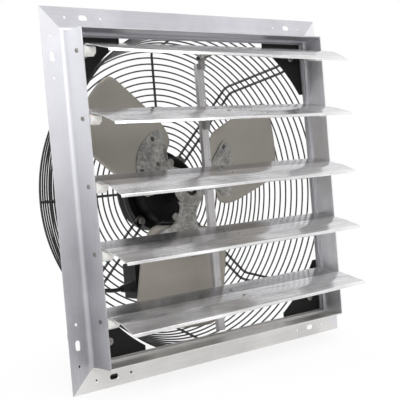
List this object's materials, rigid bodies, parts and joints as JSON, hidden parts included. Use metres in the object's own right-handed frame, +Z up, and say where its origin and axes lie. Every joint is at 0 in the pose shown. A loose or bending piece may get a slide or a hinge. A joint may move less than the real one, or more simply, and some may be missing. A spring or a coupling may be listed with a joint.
{
  "type": "shutter exhaust fan",
  "caption": "Square wall fan with linked horizontal louvres in front, a riveted propeller on a wire-hung motor, a round wire guard behind and a mains cord.",
  "frame": {"origin": "centre of the fan's axis on the front plane of the mounting flange", "axes": "+X to the right, +Y back into the wall along the fan's axis, +Z up"},
  "size_m": [0.62, 0.3156, 0.6202],
  "materials": {
    "frame_top": "satin extruded, plain mill surface",
    "frame_bottom": "satin extruded, plain mill surface",
    "frame_left": "satin extruded, plain mill surface",
    "frame_right": "satin extruded, plain mill surface",
    "corner_keys": "plain stamped angle",
    "corner_gussets": "black satin paint",
    "gusset_screws": "zinc-plated steel",
    "gusset_nuts": "zinc-plated steel",
    "guard_face": "dark grey coated wire",
    "guard_side": "dark grey coated wire",
    "support_rod_top_left": "dark grey coated wire",
    "support_rod_top_right": "dark grey coated wire",
    "support_rod_bottom_left": "dark grey coated wire",
    "support_rod_bottom_right": "dark grey coated wire",
    "motor_bolts": "zinc-plated steel",
    "motor_front_bell": "black semi-gloss paint",
    "motor_shell": "black semi-gloss paint",
    "motor_rear_bell": "black semi-gloss paint",
    "stator_core": "laminated steel, inside the motor",
    "stator_windings": "lacquered copper-coloured wire",
    "motor_bearings": "ground steel",
    "bell_screws": "zinc-plated steel",
    "junction_box": "black moulding",
    "junction_cover": "black moulding",
    "cover_screws": "zinc-plated steel",
    "capacitor": "plain can, inside the box",
    "cord_gland": "black moulding",
    "motor_lead": "black sheath",
    "cord_tube": "black sheath",
    "cord_coil": "black sheath",
    "cord_plug": "black sheath",
    "plug_prongs": "plain blades",
    "pivot_screws": "zinc-plated steel",
    "motor_shaft": "ground steel",
    "motor_rotor": "laminated steel, inside the motor",
    "fan_hub": "oiled black steel",
    "fan_spider": "galvanised sheet",
    "fan_blade_1": "dull rolled sheet",
    "fan_blade_2": "dull rolled sheet",
    "fan_blade_3": "dull rolled sheet",
    "blade_rivets": "plain rivets",
    "hub_set_screw": "oiled black steel",
    "tie_bar": "plain angle",
    "tie_links": "grey nylon",
    "tie_pins": "black headed pins",
    "louvre_1": "satin rolled sheet",
    "louvre_1_clips": "white nylon",
    "louvre_1_crank": "galvanised sheet",
    "louvre_2": "satin rolled sheet",
    "louvre_2_clips": "white nylon",
    "louvre_2_crank": "galvanised sheet",
    "louvre_3": "satin rolled sheet",
    "louvre_3_clips": "white nylon",
    "louvre_3_crank": "galvanised sheet",
    "louvre_4": "satin rolled sheet",
    "louvre_4_clips": "white nylon",
    "louvre_4_crank": "galvanised sheet",
    "louvre_5": "satin rolled sheet",
    "louvre_5_clips": "white nylon",
    "louvre_5_crank": "galvanised sheet"
  },
  "bodies": {
    "frame": {"frame_top": "frame_top", "frame_bottom": "frame_bottom", "frame_left": "frame_left", "frame_right": "frame_right", "corner_keys": "corner_keys", "corner_gussets": "corner_gussets", "gusset_screws": "gusset_screws", "gusset_nuts": "gusset_nuts", "guard_face": "guard_face", "guard_side": "guard_side", "support_rod_top_left": "support_rod_top_left", "support_rod_top_right": "support_rod_top_right", "support_rod_bottom_left": "support_rod_bottom_left", "support_rod_bottom_right": "support_rod_bottom_right", "motor_bolts": "motor_bolts", "motor_front_bell": "motor_front_bell", "motor_shell": "motor_shell", "motor_rear_bell": "motor_rear_bell", "stator_core": "stator_core", "stator_windings": "stator_windings", "motor_bearings": "motor_bearings", "bell_screws": "bell_screws", "junction_box": "junction_box", "junction_cover": "junction_cover", "cover_screws": "cover_screws", "capacitor": "capacitor", "cord_gland": "cord_gland", "motor_lead": "motor_lead", "cord_tube": "cord_tube", "cord_coil": "cord_coil", "cord_plug": "cord_plug", "plug_prongs": "plug_prongs", "pivot_screws": "pivot_screws"},
    "fan": {"motor_shaft": "motor_shaft", "motor_rotor": "motor_rotor", "fan_hub": "fan_hub", "fan_spider": "fan_spider", "fan_blade_1": "fan_blade_1", "fan_blade_2": "fan_blade_2", "fan_blade_3": "fan_blade_3", "blade_rivets": "blade_rivets", "hub_set_screw": "hub_set_screw"},
    "tie_bar": {"tie_bar": "tie_bar", "tie_links": "tie_links", "tie_pins": "tie_pins"},
    "louvre_1": {"louvre_1": "louvre_1", "louvre_1_clips": "louvre_1_clips", "louvre_1_crank": "louvre_1_crank"},
    "louvre_2": {"louvre_2": "louvre_2", "louvre_2_clips": "louvre_2_clips", "louvre_2_crank": "louvre_2_crank"},
    "louvre_3": {"louvre_3": "louvre_3", "louvre_3_clips": "louvre_3_clips", "louvre_3_crank": "louvre_3_crank"},
    "louvre_4": {"louvre_4": "louvre_4", "louvre_4_clips": "louvre_4_clips", "louvre_4_crank": "louvre_4_crank"},
    "louvre_5": {"louvre_5": "louvre_5", "louvre_5_clips": "louvre_5_clips", "louvre_5_crank": "louvre_5_crank"}
  },
  "joints": [
    {"name": "fan_spin", "type": "hinge", "parent": "frame", "child": "fan", "pos_m": [0, 0, 0], "axis": [0, 1, 0], "continuous": true},
    {"name": "louvre_1_swing", "type": "hinge", "parent": "frame", "child": "louvre_1", "pos_m": [0, -0.036, 0.23457], "axis": [1, 0, 0], "range_deg": [0, 67]},
    {"name": "louvre_2_swing", "type": "hinge", "parent": "frame", "child": "louvre_2", "pos_m": [0, -0.036, 0.12743], "axis": [1, 0, 0], "range_deg": [0, 67]},
    {"name": "louvre_3_swing", "type": "hinge", "parent": "frame", "child": "louvre_3", "pos_m": [0, -0.036, 0.02029], "axis": [1, 0, 0], "range_deg": [0, 67]},
    {"name": "louvre_4_swing", "type": "hinge", "parent": "frame", "child": "louvre_4", "pos_m": [0, -0.036, -0.08685], "axis": [1, 0, 0], "range_deg": [0, 67]},
    {"name": "louvre_5_swing", "type": "hinge", "parent": "frame", "child": "louvre_5", "pos_m": [0, -0.036, -0.19399], "axis": [1, 0, 0], "range_deg": [0, 67]},
    {"name": "tie_bar_swing", "type": "hinge", "parent": "louvre_1", "child": "tie_bar", "pos_m": [0, -0.012, 0.22997], "axis": [1, 0, 0], "range_deg": [-67, 0]}
  ],
  "couplings": [
    {"joint": "louvre_2_swing", "follows": "louvre_1_swing", "ratio": 1},
    {"joint": "louvre_3_swing", "follows": "louvre_1_swing", "ratio": 1},
    {"joint": "louvre_4_swing", "follows": "louvre_1_swing", "ratio": 1},
    {"joint": "louvre_5_swing", "follows": "louvre_1_swing", "ratio": 1},
    {"joint": "tie_bar_swing", "follows": "louvre_1_swing", "ratio": -1}
  ]
}
